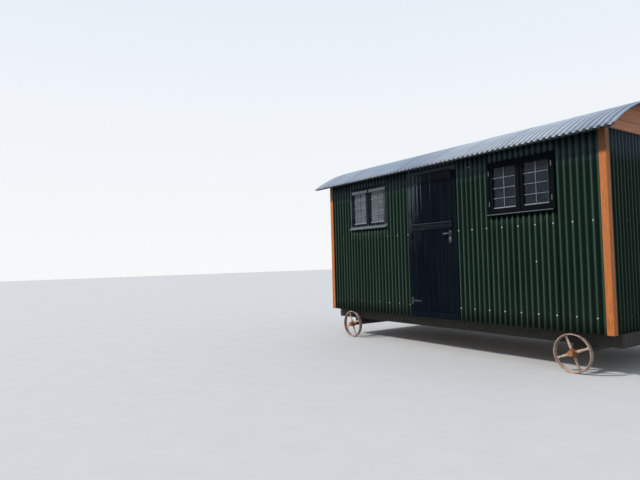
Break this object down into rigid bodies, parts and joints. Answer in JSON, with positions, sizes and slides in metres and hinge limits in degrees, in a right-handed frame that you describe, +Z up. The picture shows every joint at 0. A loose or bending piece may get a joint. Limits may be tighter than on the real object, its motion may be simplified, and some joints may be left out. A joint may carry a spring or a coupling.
{
  "type": "shepherds hut",
  "caption": "Shepherd's hut with corrugated-iron walls, curved corrugated roof, a door in two leaves between casement windows, and iron wheels.",
  "frame": {"origin": "on the ground under the centre of the hut", "axes": "+Z up, X along the hut, the door wall faces -Y"},
  "size_m": [5.285, 2.88, 3.074],
  "materials": {
    "roof_iron": "galvanised, weathered",
    "wall_iron": "dark green paint, satin",
    "post_timber": "orange-brown stain",
    "gable_timber": "orange-brown stain",
    "chassis_timber": "rough, weathered",
    "lining_timber": "bare boards",
    "floor_timber": "bare boards",
    "door_paint": "blue-black paint",
    "window_paint": "blue-black paint",
    "glass": "clear",
    "wheel_iron": "rusted",
    "axle_steel": "dull black",
    "hinge_steel": "black paint",
    "bright_steel": "satin"
  },
  "bodies": {
    "hut": {"axle_bolsters": "chassis_timber", "axle_left": "axle_steel", "axle_right": "axle_steel", "back_cladding": "wall_iron", "back_wall": "lining_timber", "chassis_beams": "chassis_timber", "corner_post_back_left": "post_timber", "corner_post_back_right": "post_timber", "corner_post_front_left": "post_timber", "corner_post_front_right": "post_timber", "door_frame": "door_paint", "eave_hook": "bright_steel", "end_beams": "chassis_timber", "floor_boards": "floor_timber", "floor_joists": "chassis_timber", "frame_hinges": "hinge_steel", "front_cladding_left": "wall_iron", "front_cladding_over_door": "wall_iron", "front_cladding_right": "wall_iron", "front_wall_left": "lining_timber", "front_wall_over_door": "lining_timber", "front_wall_right": "lining_timber", "left_casements": "window_paint", "left_end_cladding": "wall_iron", "left_end_wall": "lining_timber", "left_gable_boards": "gable_timber", "left_window_frame": "window_paint", "left_window_glass": "glass", "right_casements": "window_paint", "right_end_cladding": "wall_iron", "right_end_wall": "lining_timber", "right_gable_boards": "gable_timber", "right_window_frame": "window_paint", "right_window_glass": "glass", "roof_boards": "lining_timber", "roof_sheet": "roof_iron"},
    "upper_leaf": {"upper_door": "door_paint", "upper_door_hinges": "hinge_steel"},
    "lower_leaf": {"lower_door": "door_paint", "lower_door_hinges": "hinge_steel", "door_handle": "bright_steel"},
    "wheel_back_left_body": {"wheel_back_left": "wheel_iron"},
    "wheel_back_right_body": {"wheel_back_right": "wheel_iron"},
    "wheel_front_left_body": {"wheel_front_left": "wheel_iron"},
    "wheel_front_right_body": {"wheel_front_right": "wheel_iron"}
  },
  "joints": [
    {"name": "upper_door_swing", "type": "hinge", "parent": "hut", "child": "upper_leaf", "pos_m": [-0.4075, -1.228, 2.19], "axis": [0, 0, -1], "range_deg": [0, 160]},
    {"name": "lower_door_swing", "type": "hinge", "parent": "hut", "child": "lower_leaf", "pos_m": [-0.4075, -1.228, 1.196], "axis": [0, 0, -1], "range_deg": [0, 160]},
    {"name": "wheel_back_left_spin", "type": "hinge", "parent": "hut", "child": "wheel_back_left_body", "pos_m": [-1.973, 1.16, 0.22], "axis": [0, 1, 0], "continuous": true},
    {"name": "wheel_back_right_spin", "type": "hinge", "parent": "hut", "child": "wheel_back_right_body", "pos_m": [1.973, 1.16, 0.22], "axis": [0, 1, 0], "continuous": true},
    {"name": "wheel_front_left_spin", "type": "hinge", "parent": "hut", "child": "wheel_front_left_body", "pos_m": [-1.973, -1.16, 0.22], "axis": [0, 1, 0], "continuous": true},
    {"name": "wheel_front_right_spin", "type": "hinge", "parent": "hut", "child": "wheel_front_right_body", "pos_m": [1.973, -1.16, 0.22], "axis": [0, 1, 0], "continuous": true}
  ]
}
